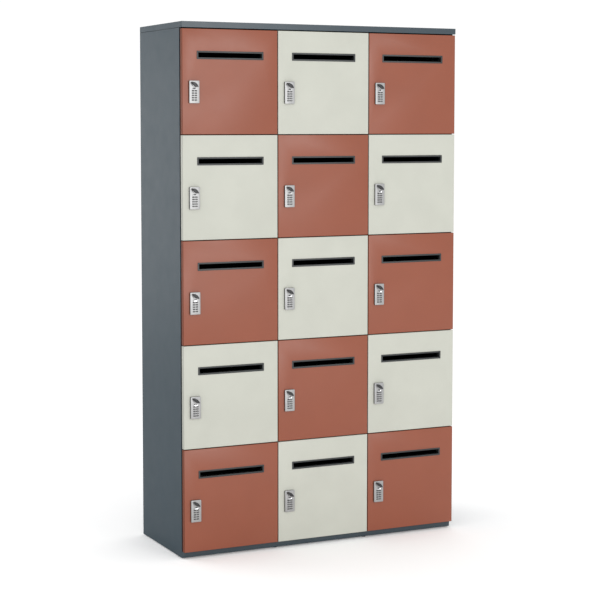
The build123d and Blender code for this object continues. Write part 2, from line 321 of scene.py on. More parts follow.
TERRACOTTA = (0.252, 0.065, 0.030)
OFF_WHITE = (0.500, 0.507, 0.448)
SLATE = (0.023, 0.042, 0.056)
# The edge colours are darker copies of the face colours: painted shade on the door edges and in the
# carcass's shaded lines.
TERRACOTTA_SHADED_EDGE = shade(TERRACOTTA, 0.62)
WHITE_SHADED_EDGE = shade(OFF_WHITE, 0.74)
SLATE_PAINTED_SHADE = shade(SLATE, 0.45)
terracotta_face = laminate("terracotta_laminate", TERRACOTTA, roughness=0.31, gloss=0.50)
terracotta_shaded_edge = laminate("terracotta_edge_painted_shade", TERRACOTTA_SHADED_EDGE, roughness=0.5, gloss=0.1)
white_face = laminate("off_white_laminate", OFF_WHITE, roughness=0.38)
white_shaded_edge = laminate("off_white_edge_painted_shade", WHITE_SHADED_EDGE, roughness=0.48)
slate_face = laminate("slate_laminate", SLATE, roughness=0.40, gloss=0.10)
slate_front = laminate("slate_front_laminate", SLATE, roughness=0.29, gloss=0.60)
slate_painted_shade = laminate("slate_painted_shade_line", SLATE_PAINTED_SHADE, roughness=0.55, gloss=0.1)
print("laminates ready")


# %% [markdown]
# ### Metal, plastic and rubber
# The lock's front is brushed metal: its fine lines run up and down, which noise squeezed to long thin
# streaks gives. Plated hinge parts are smoother. Moulded plastic has a faint spark-eroded texture, and
# rubber is dull all over.

# %% Metals and plastics
BRUSH_SCALE = 60.0
BRUSH_DEPTH = 0.08 * MM
UP_AND_DOWN = (14, 14, 0.6)
EVERY_WAY = (1, 1, 1)
PLATING_SCALE = 120.0
MOULD_SCALE = 60.0
MOULD_DEPTH = 0.1 * MM


def brushed_metal(name, colour, roughness, stretch):
    material, tree, shader = new_material(name)
    shader.inputs["Metallic"].default_value = 1.0
    streaks = noise(tree, BRUSH_SCALE, stretch=stretch, detail=6.0)
    streaky = tinted(tree, streaks, colour, darkest=0.90, lightest=1.06)
    tree.links.new(streaky, shader.inputs["Base Color"])
    dullness = ranged(tree, streaks, low=roughness - 0.06, high=roughness + 0.08)
    tree.links.new(dullness, shader.inputs["Roughness"])
    scratched = bumped(tree, streaks, strength=0.12, distance=BRUSH_DEPTH)
    tree.links.new(scratched, shader.inputs["Normal"])
    return material


def plated_metal(name, colour, roughness):
    material, tree, shader = new_material(name)
    shader.inputs["Metallic"].default_value = 1.0
    cloud = noise(tree, PLATING_SCALE, detail=4.0)
    cloudy = tinted(tree, cloud, colour, darkest=0.93, lightest=1.04)
    tree.links.new(cloudy, shader.inputs["Base Color"])
    dullness = ranged(tree, cloud, low=roughness - 0.05, high=roughness + 0.07)
    tree.links.new(dullness, shader.inputs["Roughness"])
    return material


def moulded(name, colour, roughness, grain=900.0, strength=0.15):
    material, tree, shader = new_material(name)
    cloud = noise(tree, MOULD_SCALE, detail=3.0)
    cloudy = tinted(tree, cloud, colour, darkest=0.9, lightest=1.1)
    tree.links.new(cloudy, shader.inputs["Base Color"])
    dullness = ranged(tree, cloud, low=roughness - 0.05, high=roughness + 0.05)
    tree.links.new(dullness, shader.inputs["Roughness"])
    texture = noise(tree, grain, detail=2.0)
    sparked = bumped(tree, texture, strength=strength, distance=MOULD_DEPTH)
    tree.links.new(sparked, shader.inputs["Normal"])
    return material


ZINC = (0.37, 0.37, 0.37)
CAST_ZINC = (0.20, 0.20, 0.195)
CHROME = (0.78, 0.78, 0.79)
NICKEL = (0.66, 0.66, 0.65)
DARK_GREY = (0.020, 0.023, 0.024)
BLACK = (0.012, 0.012, 0.013)
SATIN_BLACK = (0.016, 0.016, 0.018)
SOOT = (0.034, 0.034, 0.035)
MILKY = (0.55, 0.56, 0.56)
DIGIT_WHITE = (0.72, 0.72, 0.70)
SMOKE = (0.012, 0.013, 0.014)
BEECH = (0.45, 0.29, 0.16)
lock_metal = brushed_metal("lock_brushed_metal", ZINC, roughness=0.38, stretch=UP_AND_DOWN)
lock_cast = brushed_metal("lock_cast_side", CAST_ZINC, roughness=0.50, stretch=EVERY_WAY)
indicator_chrome = plated_metal("indicator_chrome", CHROME, roughness=0.14)
plated_steel = plated_metal("hinge_plated_steel", NICKEL, roughness=0.28)
slot_plastic = moulded("slot_grey_plastic", DARK_GREY, roughness=0.34)
black_plastic = moulded("black_plastic", BLACK, roughness=0.42)
knob_black = moulded("knob_black_satin", SATIN_BLACK, roughness=0.30, grain=1600.0, strength=0.06)
key_rubber = moulded("key_rubber", SOOT, roughness=0.55)
pad_rubber = moulded("clear_pad_rubber", MILKY, roughness=0.45)
digit_white = moulded("digit_paint", DIGIT_WHITE, roughness=0.50)
lens_smoke = moulded("indicator_smoked_lens", SMOKE, roughness=0.10, grain=400.0, strength=0.02)
beech = laminate("beech_dowel", BEECH, roughness=0.6)
print(len(bpy.data.materials), "finishes")


# %% [markdown]
# ### Putting a finish on
# A piece can carry several finishes, and each of its faces says by number which one it shows. The
# faces for the second or third finish are found by the way they look or by their place.

# %% Helpers for giving a piece its finish
def finish(piece, *materials):
    piece.data.materials.clear()
    for material in materials:
        piece.data.materials.append(material)


def finish_where(piece, test, index):
    """Gives the faces that pass the test another of the piece's finishes."""
    for face in piece.data.polygons:
        if test(face):
            face.material_index = index


# %% [markdown]
# ## The carcass
# Boards straight from the construction model have knife edges, and no real board does. Its edging tape
# is trimmed to a small radius, and that radius is what catches a line of light. Each board is a copy of
# its construction mesh, with its loose triangles merged and flattened into whole faces, then its long
# edges are bevelled by just under a millimetre. Where the top board meets the side boards, and beside
# the doors, these narrow bevels lie in shade, and the shade is painted on: they get a much darker slate
# that draws a fine shadow line. The boards' faces are split at the level of the doors' lower edge, so
# that the painted shade ends there. New boxes would look the same from outside, but the boards would
# lose their dowel holes.

# %% Softening a board
BOARD_SOFTNESS = 0.9 * MM
SHORTEST_BEVELLED = 7 * MM
SHARP_ANGLE = math.radians(60)
MERGE_WITHIN = 0.01 * MM
FLAT_WITHIN = math.radians(1)
FACING_FRONT = -0.9
LEANING_FRONT = -0.2
JOINT_REACH = 1.5 * BOARD_SOFTNESS
JOINT_LEAN = (0.2, 0.98)
doors_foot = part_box(f"door_r{ROWS}c1")[0].z
doors_head = door_top
joint_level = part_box("top_panel")[0].z


def faces_front(face):
    return face.normal.y < FACING_FRONT


def beside_doors(face):
    return face.normal.y < LEANING_FRONT and doors_foot < face.center.z < doors_head


def in_top_joint(face):
    near = abs(face.center.z - joint_level) < JOINT_REACH
    return near and JOINT_LEAN[0] < abs(face.normal.z) < JOINT_LEAN[1]


def shade_line(face):
    return beside_doors(face) or in_top_joint(face)


def soften_board(piece):
    """Bevels the long sharp edges. The small rims of the dowel holes would hold the width back."""
    only(piece)
    bpy.ops.object.mode_set(mode="EDIT")
    bpy.ops.mesh.select_mode(type="EDGE")
    bpy.ops.mesh.select_all(action="DESELECT")
    mesh = bmesh.from_edit_mesh(piece.data)
    for edge in mesh.edges:
        if edge.calc_length() > SHORTEST_BEVELLED and edge.calc_face_angle(0) > SHARP_ANGLE:
            edge.select_set(True)
    bmesh.update_edit_mesh(piece.data)
    bpy.ops.mesh.bevel(offset=BOARD_SOFTNESS, segments=2, affect="EDGES", clamp_overlap=False)
    bpy.ops.object.mode_set(mode="OBJECT")


# %% Carcass boards
BOARDS = ["side_panel_left", "side_panel_right", "partition_1", "partition_2", "top_panel",
          "base_panel", "plinth_rails", "back_panel", "shelves"]


def board_from(node, name):
    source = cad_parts[node]
    piece = bpy.data.objects.new(name, source.data.copy())
    bpy.context.scene.collection.objects.link(piece)
    only(piece)
    bpy.ops.object.mode_set(mode="EDIT")
    bpy.ops.mesh.select_all(action="SELECT")
    bpy.ops.mesh.remove_doubles(threshold=MERGE_WITHIN)
    bpy.ops.mesh.dissolve_limited(angle_limit=FLAT_WITHIN)
    bpy.ops.mesh.select_all(action="SELECT")
    bpy.ops.mesh.bisect(plane_co=(0, 0, doors_foot), plane_no=(0, 0, 1))
    bpy.ops.object.mode_set(mode="OBJECT")
    soften_board(piece)
    finish(piece, slate_face, slate_front, slate_painted_shade)
    finish_where(piece, faces_front, 1)
    # The shaded bevels get the darkest slate: a painted shadow line.
    finish_where(piece, shade_line, 2)
    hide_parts(node)
    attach(piece, "carcass")
    return piece


for board_name in BOARDS:
    made = board_from(board_name, board_name + "_board")
    print(board_name, len(made.data.polygons), "faces")
finish(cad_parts["dowels"], beech)
finish(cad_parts["glides"], black_plastic)

# %% [markdown]
# ## A door
# A door is a laminate board with edging on its four sides. It has a long opening for letters, a round
# hole for the lock and two shallow round pockets on the back for the hinge cups. The board starts as a
# box, its edges are bevelled, and then boolean cutters open the holes. Cutters reach well past the
# faces they cut, because faces that lie in one plane confuse a boolean. Insets and extrusions could
# make the slot too, but round holes near it are cleaner with a boolean, and one way serves them all.
# One door is made at the top left and copied to the other places.

# %% Door board
DOOR_SOFTNESS = 0.9 * MM
EDGING_REACH = 1.5 * MM
EDGING_LEAN = 0.99
CUT_PAST = 5 * MM
SLOT_SIZE = (254 * MM, 18 * MM)
SLOT_WALL = 2 * MM
SLOT_FIT = 0.3 * MM
LOCK_HOLE_RADIUS = 9.2 * MM
CUP_RADIUS = 17.5 * MM
CUP_DEPTH = 12 * MM
CUP_FIT = 0.1 * MM


def slot_cutter(extra, front, back):
    width = SLOT_SIZE[0] / 2 + extra
    height = SLOT_SIZE[1] / 2 + extra
    return box_piece(
        "slot_cutter", (slot_x - width, front, slot_z - height), (slot_x + width, back, slot_z + height)
    )


def spindle_bar(name, radius, front, back, sides=48):
    """A round bar on the lock's spindle line, between two depths."""
    ends = (spindle_x, front, spindle_z), (spindle_x, back, spindle_z)
    return bar_piece(name, radius, *ends, sides=sides)


def make_door():
    door = box_piece(
        "door_board", (door_left, door_front, door_bottom), (door_right, door_back, door_top)
    )
    soften(door, DOOR_SOFTNESS, segments=3)
    front, back = door_front - CUT_PAST, door_back + CUT_PAST
    cut(door, slot_cutter(SLOT_WALL + SLOT_FIT, front, back))
    cut(door, spindle_bar("lock_hole", LOCK_HOLE_RADIUS, front, back))
    for level in hinge_levels:
        pocket_floor = door_back - CUP_DEPTH - CUP_FIT
        cut(door, bar_piece(
            "cup_hole", CUP_RADIUS + CUP_FIT, (cup_x, pocket_floor, level), (cup_x, back, level)
        ))
    smooth(door)
    return door


def on_shaded_edge(face):
    centre = face.center
    near_side = min(centre.x - door_left, door_right - centre.x) < EDGING_REACH
    near_end = min(centre.z - door_bottom, door_top - centre.z) < EDGING_REACH
    return (near_side or near_end) and abs(face.normal.y) < EDGING_LEAN


first_door = make_door()
print("door board", len(first_door.data.polygons), "faces")

# %% [markdown]
# ## The letter slot's lining
# The slot has a dark grey lining whose flange hides the cut edge of the board. The flange is a flat
# bar with rounded corners, and the sleeve behind it lines the hole. It could be one box with its
# front extruded sideways. Two boxes that are opened by the same cutter are simpler, and keep their
# holes in line. The flange's edges are then bevelled, so letters slide in without catching.

# %% Slot lining
SLOT_FLANGE = 4 * MM
FLANGE_THICKNESS = 1.2 * MM
FLANGE_CORNER = 1.6 * MM
FLANGE_SOFTNESS = 0.35 * MM


def make_lining():
    width = SLOT_SIZE[0] / 2 + SLOT_WALL
    height = SLOT_SIZE[1] / 2 + SLOT_WALL
    flange_w, flange_h = width + SLOT_FLANGE, height + SLOT_FLANGE
    flange = box_piece(
        "flange", (slot_x - flange_w, door_front - FLANGE_THICKNESS, slot_z - flange_h),
        (slot_x + flange_w, door_front, slot_z + flange_h),
    )
    bevel_where(flange, along_y, FLANGE_CORNER, segments=4)
    cut(flange, slot_cutter(0, door_front - CUT_PAST, door_front + CUT_PAST))
    soften(flange, FLANGE_SOFTNESS, segments=2, angle=50)
    sleeve = box_piece(
        "sleeve", (slot_x - width, door_front, slot_z - height),
        (slot_x + width, door_back, slot_z + height),
    )
    cut(sleeve, slot_cutter(0, door_front - CUT_PAST, door_back + CUT_PAST))
    lining = joined("slot_lining", [flange, sleeve])
    smooth(lining)
    finish(lining, slot_plastic)
    return lining


first_lining = make_lining()
print("slot lining", len(first_lining.data.polygons), "faces")

# %% [markdown]
# ## The lock's housing
# The lock's front is a die-cast housing with rounded corners, faced in brushed metal. Its face is thin
# over a hidden pocket, and ten small windows let the keys through. A shallow round recess lies under
# the knob's collar, and the spigot behind the housing passes through the door. Every opening is cut
# with a box or bar that reaches past the face, and a key's window is the key's own outline, a little
# larger.
# Windows painted on would look the same from far off, but the keys have to move in them.

# %% Keys' places
KEY_PITCH = (11.4 * MM, 8.35 * MM)
KEY_SIZE = (9.2 * MM, 4.4 * MM)
KEY_DROP = 12.8 * MM
KEY_CORNER = 1.0 * MM
keys_middle = lock_z - KEY_DROP
pad_low, pad_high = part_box("keypad_r1c1")
KEY_SPOTS = [(across, down) for down in range(5) for across in range(2)]


def key_centre(across, down):
    x = spindle_x + (across - 0.5) * KEY_PITCH[0]
    z = keys_middle + (2 - down) * KEY_PITCH[1]
    return x, z


def key_block(name, across, down, extra, front, back):
    """A key's rounded outline, between two depths."""
    x, z = key_centre(across, down)
    half_w, half_h = KEY_SIZE[0] / 2 + extra, KEY_SIZE[1] / 2 + extra
    piece = box_piece(name, (x - half_w, front, z - half_h), (x + half_w, back, z + half_h))
    bevel_where(piece, along_y, KEY_CORNER + extra, segments=4)
    return piece


print(len(KEY_SPOTS), "keys, the first at", [round(v, 4) for v in key_centre(0, 0)])

# %% Lock housing
HOUSING_SIZE = (40 * MM, 82 * MM)
HOUSING_DEPTH = 8 * MM
HOUSING_CORNER = 3 * MM
HOUSING_SOFTNESS = 0.9 * MM
SPIGOT_RADIUS = 9 * MM
BORE_RADIUS = 4.05 * MM
RECESS_RADIUS = 10.2 * MM
RECESS_DEPTH = 0.35 * MM
KEY_FACE = 0.7 * MM
WINDOW_FIT = 0.3 * MM
WINDOW_PAST = 0.2 * MM
MAT_FIT = 0.3 * MM
MAT_THICKNESS = 1.4 * MM
POCKET_ROOM = 1.2 * MM
housing_front = door_front - HOUSING_DEPTH
mat_front = housing_front + KEY_FACE + MAT_FIT
mat_back = mat_front + MAT_THICKNESS


def make_housing():
    half_w, half_h = HOUSING_SIZE[0] / 2, HOUSING_SIZE[1] / 2
    body = box_piece(
        "housing", (spindle_x - half_w, housing_front, lock_z - half_h),
        (spindle_x + half_w, door_front, lock_z + half_h),
    )
    bevel_where(body, along_y, HOUSING_CORNER, segments=6)
    bevel_where(body, front_rim(housing_front), HOUSING_SOFTNESS, segments=3)
    before = housing_front - CUT_PAST
    window_back = housing_front + KEY_FACE + WINDOW_PAST
    for across, down in KEY_SPOTS:
        cut(body, key_block("window", across, down, WINDOW_FIT, before, window_back))
    cut(body, box_piece(
        "pocket", (pad_low.x - MAT_FIT, housing_front + KEY_FACE, pad_low.z - MAT_FIT),
        (pad_high.x + MAT_FIT, mat_back + POCKET_ROOM, pad_high.z + MAT_FIT),
    ))
    cut(body, spindle_bar(
        "collar_recess", RECESS_RADIUS, before, housing_front + RECESS_DEPTH, sides=64
    ))
    cut(body, spindle_bar("bore", BORE_RADIUS, before, door_front + CUT_PAST))
    return body


def make_spigot():
    piece = spindle_bar("spigot", SPIGOT_RADIUS, door_front, door_back)
    cut(piece, spindle_bar("bore", BORE_RADIUS, door_front - CUT_PAST, door_back + CUT_PAST))
    return piece


housing_body = make_housing()
spigot = make_spigot()
print("housing face", len(housing_body.data.polygons), "faces")

# %% [markdown]
# ## The indicator
# Between the keys and the knob sits an oval indicator: a dark lens at the bottom of a bright dish,
# whose broad lower slope catches the light from above. Ovals start as boxes whose four edges along Y
# are bevelled to half their height. The dish could be spun, but a spin makes a round one only. So it
# is cut by an oval whose back end is drawn in and lifted, by moving its rear vertices, and the housing
# gets a seat that the rim stands in.

# %% Indicator
INDICATOR_SIZE = (16 * MM, 8 * MM)
INDICATOR_RISE = 11.2 * MM
INDICATOR_PROUD = 1.0 * MM
RIM_SEAT = 1.3 * MM
RIM_OVERLAP = 0.3 * MM
RIM_SOFTNESS = 0.25 * MM
DISH_SIZE = (15 * MM, 7.2 * MM)
DISH_DEPTH = 1.6 * MM
DISH_NARROWING = (0.68, 0.42)
DISH_LIFT = 1.0 * MM
LENS_PROUD = 0.2 * MM
LENS_OVERLAP = 0.4 * MM
LENS_SOFTNESS = 0.15 * MM
OVAL_ROUNDNESS = 0.99
DISH_START = 0.3 * MM
DISH_LEAN = (-0.97, -0.3)
SIDE_LEAN = 0.3
HAIR = 0.1 * MM
indicator_z = lock_z + INDICATOR_RISE
rim_front = housing_front - INDICATOR_PROUD
lens_front = rim_front + DISH_DEPTH - LENS_PROUD


def oval(name, size, front, back, lift=0.0):
    half_w, half_h = size[0] / 2, size[1] / 2
    middle = indicator_z + lift
    piece = box_piece(
        name, (spindle_x - half_w, front, middle - half_h),
        (spindle_x + half_w, back, middle + half_h),
    )
    bevel_where(piece, along_y, half_h * OVAL_ROUNDNESS, segments=10)
    return piece


def dish_cutter():
    """An oval that narrows towards the back, and upwards, so the dish has a broad lower slope."""
    cutter = oval("dish", DISH_SIZE, rim_front - HAIR, rim_front + DISH_DEPTH)
    for vertex in cutter.data.vertices:
        if vertex.co.y > rim_front:
            across, up = vertex.co.x - spindle_x, vertex.co.z - indicator_z
            vertex.co.x = spindle_x + across * DISH_NARROWING[0]
            vertex.co.z = indicator_z + up * DISH_NARROWING[1] + DISH_LIFT
    return cutter


def dish_slope(face):
    inside = face.center.y > rim_front + DISH_START
    return inside and DISH_LEAN[0] < face.normal.y < DISH_LEAN[1]


def make_rim():
    rim = oval("indicator_rim", INDICATOR_SIZE, rim_front, housing_front + RIM_SEAT - HAIR)
    bevel_where(rim, front_rim(rim_front), RIM_SOFTNESS, segments=3)
    cut(rim, dish_cutter())
    finish(rim, lock_metal, indicator_chrome)
    finish_where(rim, dish_slope, 1)
    smooth(rim)
    return rim


def make_lens():
    size = [whole * share + LENS_OVERLAP for whole, share in zip(DISH_SIZE, DISH_NARROWING)]
    lens = oval("indicator_lens", size, lens_front, housing_front + RIM_SEAT, lift=DISH_LIFT)
    bevel_where(lens, front_rim(lens_front), LENS_SOFTNESS, segments=2)
    smooth(lens)
    finish(lens, lens_smoke)
    return lens


def looks_sideways(face):
    return abs(face.normal.y) < SIDE_LEAN


rim_seat = [whole - RIM_OVERLAP for whole in INDICATOR_SIZE]
cut(housing_body, oval("rim_seat", rim_seat, housing_front - CUT_PAST, housing_front + RIM_SEAT))
first_housing = joined("lock_housing", [housing_body, spigot])
smooth(first_housing)
finish(first_housing, lock_metal, lock_cast)
finish_where(first_housing, looks_sideways, 1)
first_rim = make_rim()
first_lens = make_lens()
print("lock housing", len(first_housing.data.polygons), "faces")


# %% [markdown]
# ## The lock's rear case
# Behind the door the lock ends in a black plastic case with a fine split line, held by two screws. A
# screw head is a short bar, and its cross is two thin boxes, one across the other, cut half as deep as
# the head is high. The same helper makes the screws of the hinges further on, which point other ways.

# %% Screws
HEAD_HEIGHT = 0.9 * MM
CROSS_LENGTH = 0.62
CROSS_WIDTH = 0.14
CROSS_DEPTH = 0.5
BACKWARDS = (0, 1, 0)
LEFTWARDS = (-1, 0, 0)


def screw_head(name, centre, radius, direction, height=HEAD_HEIGHT):
    """A low head with a cross recess. The cross's sizes are shares of the radius and the height."""
    centre, direction = Vector(centre), Vector(direction)
    top = centre + direction * height
    head = bar_piece(name, radius, centre, top, sides=24)
    across = direction.orthogonal().normalized()
    other = direction.cross(across)
    for long, short in ((across, other), (other, across)):
        reach = long * radius * CROSS_LENGTH + short * radius * CROSS_WIDTH
        reach = reach + direction * height * CROSS_DEPTH
        half = Vector([abs(v) for v in reach])
        cut(head, box_piece("recess", top - half, top + half))
    return head


# %% Rear case
REAR_CASE = (34 * MM, 70 * MM, 12 * MM)
REAR_CORNER = 3 * MM
REAR_SOFTNESS = 1.0 * MM
SPLIT_GROOVE = 0.5 * MM
SPLIT_RISE = 8 * MM
REAR_SCREW_RADIUS = 2.6 * MM
REAR_SCREW_HEIGHT = 0.8 * MM
REAR_SCREW_RISES = (-28 * MM, 1 * MM)
rear_back = door_back + REAR_CASE[2]


def make_rear_case():
    half_w, half_h = REAR_CASE[0] / 2, REAR_CASE[1] / 2
    case = box_piece(
        "rear_case", (spindle_x - half_w, door_back, lock_z - half_h),
        (spindle_x + half_w, rear_back, lock_z + half_h),
    )
    bevel_where(case, along_y, REAR_CORNER, segments=5)
    bevel_where(case, back_rim(rear_back), REAR_SOFTNESS, segments=3)
    cut(case, spindle_bar("bore", BORE_RADIUS, door_back - CUT_PAST, rear_back + CUT_PAST))
    split = lock_z + SPLIT_RISE
    reach = half_w + CUT_PAST
    cut(case, box_piece(
        "split_line", (spindle_x - reach, rear_back - SPLIT_GROOVE, split - SPLIT_GROOVE / 2),
        (spindle_x + reach, rear_back + CUT_PAST, split + SPLIT_GROOVE / 2),
    ))
    smooth(case)
    finish(case, black_plastic)
    return case


first_rear = make_rear_case()
first_screws = joined("lock_screws", [
    screw_head("screw", (spindle_x, rear_back, lock_z + rise), REAR_SCREW_RADIUS, BACKWARDS,
               REAR_SCREW_HEIGHT)
    for rise in REAR_SCREW_RISES
])
smooth(first_screws)
finish(first_screws, plated_steel)
print("rear case", len(first_rear.data.polygons), "faces")

# %% [markdown]
# ## The keypad
# Ten keys stand on one springy mat in two columns of five, and reach out through the housing's
# windows. A single key is a rounded block with a bevelled front, made at each of the keys' places. The
# numbers could be painted by a texture, which would need a picture. So each is made from a text object
# that is turned to face the front, thickened a little and made a mesh.

# %% Keys and numbers
KEY_PROUD = 0.9 * MM
KEY_SOFTNESS = 0.45 * MM
NUMBER_HEIGHT = 3.4 * MM
NUMBER_THICKNESS = 0.06 * MM
NUMBER_SUNK = 0.4
FACING_OUT = (math.pi / 2, 0, 0)
NUMBERS = (("1", "2"), ("3", "4"), ("5", "6"), ("7", "8"), ("9", "0"))
key_front = housing_front - KEY_PROUD
number_front = key_front - NUMBER_THICKNESS * NUMBER_SUNK


def make_key(across, down):
    key = key_block("key", across, down, 0, key_front, mat_front)
    bevel_where(key, front_rim(key_front), KEY_SOFTNESS, segments=3)
    return key


def make_number(text, across, down):
    x, z = key_centre(across, down)
    clear_selection()
    bpy.ops.object.text_add(location=(x, number_front, z), rotation=FACING_OUT)
    number = bpy.context.object
    number.data.body = text
    number.data.size = NUMBER_HEIGHT
    number.data.align_x = "CENTER"
    number.data.align_y = "CENTER"
    number.data.extrude = NUMBER_THICKNESS
    number.data.resolution_u = 3
    only(number)
    bpy.ops.object.convert(target="MESH")
    settle(number)
    return number


key_parts = [box_piece(
    "mat", (pad_low.x, mat_front, pad_low.z), (pad_high.x, mat_back, pad_high.z)
)]
number_parts = []
for down, pair in enumerate(NUMBERS):
    for across, text in enumerate(pair):
        key_parts.append(make_key(across, down))
        number_parts.append(make_number(text, across, down))
first_keys = joined("keypad_keys", key_parts)
smooth(first_keys)
finish(first_keys, key_rubber)
first_numbers = joined("keypad_numbers", number_parts)
finish(first_numbers, digit_white)
print("keypad", len(first_keys.data.polygons), "faces")
print("its numbers", len(first_numbers.data.polygons), "faces")

# %% [markdown]
# ## The knob
# The knob is a thumb turn: a collar with a raised grip across it, tilted as the photograph shows. From
# the front the grip is leaf shaped. A stretched cylinder would be an oval with blunt ends, so the leaf
# is what two wide overlapping discs have in common. Its tips and front edge are rounded, and a thin
# groove marks its upper end. It is made level and then turned about the spindle, so that its edges are
# easy to find while it still lies straight.

# %% Knob
GRIP_LENGTH = 31 * MM
GRIP_WIDTH = 11.5 * MM
GRIP_HEIGHT = 9 * MM
GRIP_TILT = 37
GRIP_TIP_ROUND = 2.2 * MM
GRIP_SOFTNESS = 1.2 * MM
TIP_REACH = 0.3 * MM
MARK_ENDS = (3.5 * MM, 10 * MM)
MARK_WIDTH = 0.8 * MM
MARK_DEPTH = 0.35 * MM
COLLAR_RADIUS = 8.5 * MM
COLLAR_HEIGHT = 1.6 * MM
COLLAR_SOFTNESS = 0.5 * MM
SPINDLE_RADIUS = 4 * MM
SPINDLE_SOFTNESS = 0.6 * MM
KNOB_LIFT = 0.4 * MM
collar_back = housing_front - KNOB_LIFT
collar_front = collar_back - COLLAR_HEIGHT
grip_front = collar_front - GRIP_HEIGHT
spindle_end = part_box("knob_r1c1")[1].y
spindle_centre = Vector((spindle_x, 0, spindle_z))


def turned(piece, degrees):
    """Turns a piece about the spindle, clockwise as seen from the front."""
    about = Matrix.Translation(spindle_centre)
    turn = Matrix.Rotation(math.radians(degrees), 4, "Y")
    piece.data.transform(about @ turn @ about.inverted())


def make_grip():
    half_l, half_w = GRIP_LENGTH / 2, GRIP_WIDTH / 2
    arc = (half_l ** 2 + half_w ** 2) / GRIP_WIDTH
    discs = []
    for side in (-1, 1):
        z = spindle_z + side * (arc - half_w)
        discs.append(bar_piece(
            "grip", arc, (spindle_x, grip_front, z), (spindle_x, collar_front, z), sides=120
        ))
    grip, other = discs
    cut(grip, other, operation="INTERSECT")

    def at_tips(a, b):
        return along_y(a, b) and abs(a.x - spindle_x) > half_l - TIP_REACH

    bevel_where(grip, at_tips, GRIP_TIP_ROUND, segments=6)
    bevel_where(grip, front_rim(grip_front), GRIP_SOFTNESS, segments=4)
    tip = spindle_x - half_l
    cut(grip, box_piece(
        "mark", (tip + MARK_ENDS[0], grip_front - CUT_PAST, spindle_z - MARK_WIDTH / 2),
        (tip + MARK_ENDS[1], grip_front + MARK_DEPTH, spindle_z + MARK_WIDTH / 2),
    ))
    turned(grip, GRIP_TILT)
    return grip


def below_grip(face):
    return face.center.y > collar_front - SAME_LEVEL


def make_knob():
    collar = spindle_bar("collar", COLLAR_RADIUS, collar_front, collar_back, sides=64)
    bevel_where(collar, front_rim(collar_front), COLLAR_SOFTNESS, segments=3)
    spindle = spindle_bar("spindle", SPINDLE_RADIUS, collar_back, spindle_end, sides=32)
    bevel_where(spindle, back_rim(spindle_end), SPINDLE_SOFTNESS, segments=2)
    knob = joined("knob", [make_grip(), collar, spindle])
    smooth(knob)
    finish(knob, knob_black, lock_metal)
    finish_where(knob, below_grip, 1)
    return knob


first_knob = make_knob()
print("knob", len(first_knob.data.polygons), "faces")

# %% [markdown]
# ## The cam
# Behind the case the spindle carries a flat steel cam, which turns behind the strike plate and holds
# the door. It is a box whose four edges along Y are bevelled to nearly half its width, so both ends
# are round. The nut that clamps it is a bar with six sides.

# %% Cam and nut
CAM_LENGTH = 25 * MM
CAM_WIDTH = 16 * MM
CAM_THICKNESS = 3 * MM
CAM_SOFTNESS = 0.4 * MM
CAM_ROUNDNESS = 0.97
CAM_GAP = 1 * MM
NUT_THICKNESS = 3 * MM
NUT_RADIUS = 6.5 * MM
NUT_SOFTNESS = 0.5 * MM
cam_front = rear_back + CAM_GAP
cam_back = cam_front + CAM_THICKNESS
nut_back = cam_back + NUT_THICKNESS


def make_cam():
    half = CAM_WIDTH / 2
    cam = box_piece(
        "cam", (spindle_x - half, cam_front, spindle_z - half),
        (spindle_x + half, cam_back, spindle_z + CAM_LENGTH),
    )
    bevel_where(cam, along_y, half * CAM_ROUNDNESS, segments=10)
    soften(cam, CAM_SOFTNESS, segments=2, angle=60)
    cut(cam, spindle_bar("bore", BORE_RADIUS, cam_front - CUT_PAST, cam_back + CUT_PAST))
    nut = spindle_bar("nut", NUT_RADIUS, cam_back, nut_back, sides=6)
    soften(nut, NUT_SOFTNESS, segments=2, angle=50)
    cut(nut, spindle_bar("bore", BORE_RADIUS, cam_back - CUT_PAST, nut_back + CUT_PAST))
    piece = joined("cam", [cam, nut])
    smooth(piece)
    finish(piece, plated_steel)
    return piece


first_cam = make_cam()
print("cam", len(first_cam.data.polygons), "faces")

# %% [markdown]
# ## The hinge cups
# Each concealed hinge has a pressed steel cup let into the door's back, with a flange and two screws.
# The cup is a cylinder united with a flat bar that has rounded corners, and a slightly smaller
# cylinder then hollows it, which leaves a thin wall and a floor, all as one closed skin.

# %% Hinge cup
CUP_WALL = 1.0 * MM
CUP_FLANGE = 0.8 * MM
CUP_FLANGE_SIZE = (20 * MM, 58 * MM)
CUP_FLANGE_CORNER = 6 * MM
FLANGE_INSET = 0.02 * MM
CUP_SCREW_RADIUS = 3.2 * MM
CUP_SCREW_SPAN = 24 * MM
CUP_SCREW_SUNK = 0.3 * MM


def make_cup(level):
    floor, back = door_back - CUP_DEPTH, door_back + CUP_FLANGE
    cup = bar_piece("cup", CUP_RADIUS, (cup_x, floor, level), (cup_x, back, level), sides=64)
    half_w, half_h = CUP_FLANGE_SIZE[0] / 2, CUP_FLANGE_SIZE[1] / 2
    flange = box_piece(
        "cup_flange", (cup_x - half_w, door_back + FLANGE_INSET, level - half_h),
        (cup_x + half_w, back - FLANGE_INSET, level + half_h),
    )
    bevel_where(flange, along_y, CUP_FLANGE_CORNER, segments=6)
    cut(cup, flange, operation="UNION")
    cut(cup, bar_piece(
        "hollow", CUP_RADIUS - CUP_WALL, (cup_x, floor + CUP_WALL, level),
        (cup_x, back + CUT_PAST, level), sides=64,
    ))
    screws = []
    for side in (-1, 1):
        seat = (cup_x, back - CUP_SCREW_SUNK, level + side * CUP_SCREW_SPAN)
        screws.append(screw_head("screw", seat, CUP_SCREW_RADIUS, BACKWARDS))
    return joined("cup", [cup] + screws)


first_cups = joined("hinge_cups", [make_cup(level) for level in hinge_levels])
smooth(first_cups)
finish(first_cups, plated_steel)
print("hinge cups", len(first_cups.data.polygons), "faces")

